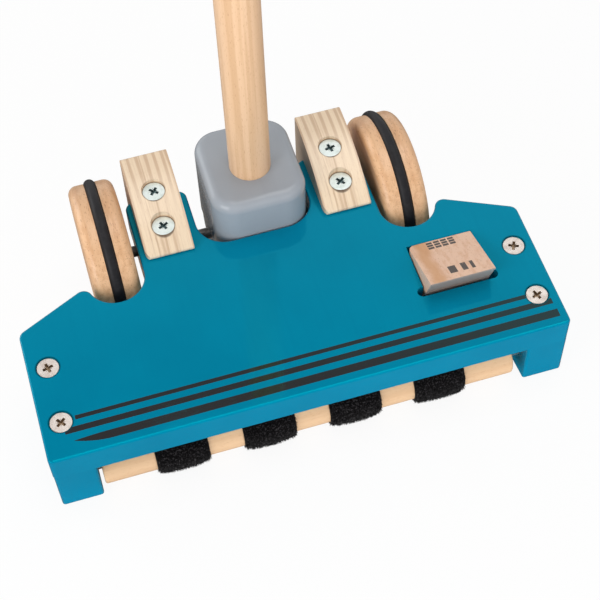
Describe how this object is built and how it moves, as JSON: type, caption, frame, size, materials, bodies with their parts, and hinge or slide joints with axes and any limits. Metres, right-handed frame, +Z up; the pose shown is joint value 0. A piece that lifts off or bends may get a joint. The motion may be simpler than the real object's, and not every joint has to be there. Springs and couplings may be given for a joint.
{
  "type": "toy vacuum cleaner",
  "caption": "Wooden push-along toy vacuum cleaner: painted floor head on ringed wheels, with a napped sweeping roller, a tipping pedal and a handle that folds back about the axle.",
  "frame": {"origin": "on the floor under the middle of the whole toy's box", "axes": "+Z up from the floor, +Y from the sweeping roller at the front towards the wheels at the rear, +X to the right seen from the front edge"},
  "size_m": [0.22, 0.1646, 0.6335],
  "materials": {
    "teal_paint": "gloss paint",
    "zinc": "zinc plated",
    "beech": "clear satin varnish",
    "steel": "drawn bright",
    "rubber": "matt",
    "nap": "napped pile",
    "grey_paint": "gloss paint"
  },
  "bodies": {
    "head": {"base_plate": "teal_paint", "left_leg": "teal_paint", "right_leg": "teal_paint", "leg_screws": "zinc", "left_axle_block": "beech", "right_axle_block": "beech", "block_screws": "zinc", "axle": "steel", "left_axle_cap": "steel", "right_axle_cap": "steel", "pedal_pin": "steel"},
    "left_wheel_body": {"left_wheel": "beech", "left_wheel_ring": "rubber"},
    "right_wheel_body": {"right_wheel": "beech", "right_wheel_ring": "rubber"},
    "roller_body": {"roller": "beech", "nap_band_1": "nap", "nap_band_2": "nap", "nap_band_3": "nap", "nap_band_4": "nap", "left_roller_pin": "steel", "right_roller_pin": "steel"},
    "pedal_body": {"pedal": "beech"},
    "handle_body": {"handle_block": "grey_paint", "handle_rod": "beech", "hand_ball": "beech"}
  },
  "joints": [
    {"name": "left_wheel_spin", "type": "hinge", "parent": "head", "child": "left_wheel_body", "pos_m": [0, 0.04632, 0.036], "axis": [1, 0, 0], "continuous": true},
    {"name": "right_wheel_spin", "type": "hinge", "parent": "head", "child": "right_wheel_body", "pos_m": [0, 0.04632, 0.036], "axis": [1, 0, 0], "continuous": true},
    {"name": "roller_spin", "type": "hinge", "parent": "head", "child": "roller_body", "pos_m": [0, -0.04691, 0.0124], "axis": [1, 0, 0], "continuous": true},
    {"name": "pedal_tip", "type": "hinge", "parent": "head", "child": "pedal_body", "pos_m": [0, -0.02207, 0.03694], "axis": [1, 0, 0], "range_deg": [0, 6]},
    {"name": "handle_fold", "type": "hinge", "parent": "head", "child": "handle_body", "pos_m": [0, 0.04632, 0.036], "axis": [-1, 0, 0], "range_deg": [0, 100]}
  ]
}
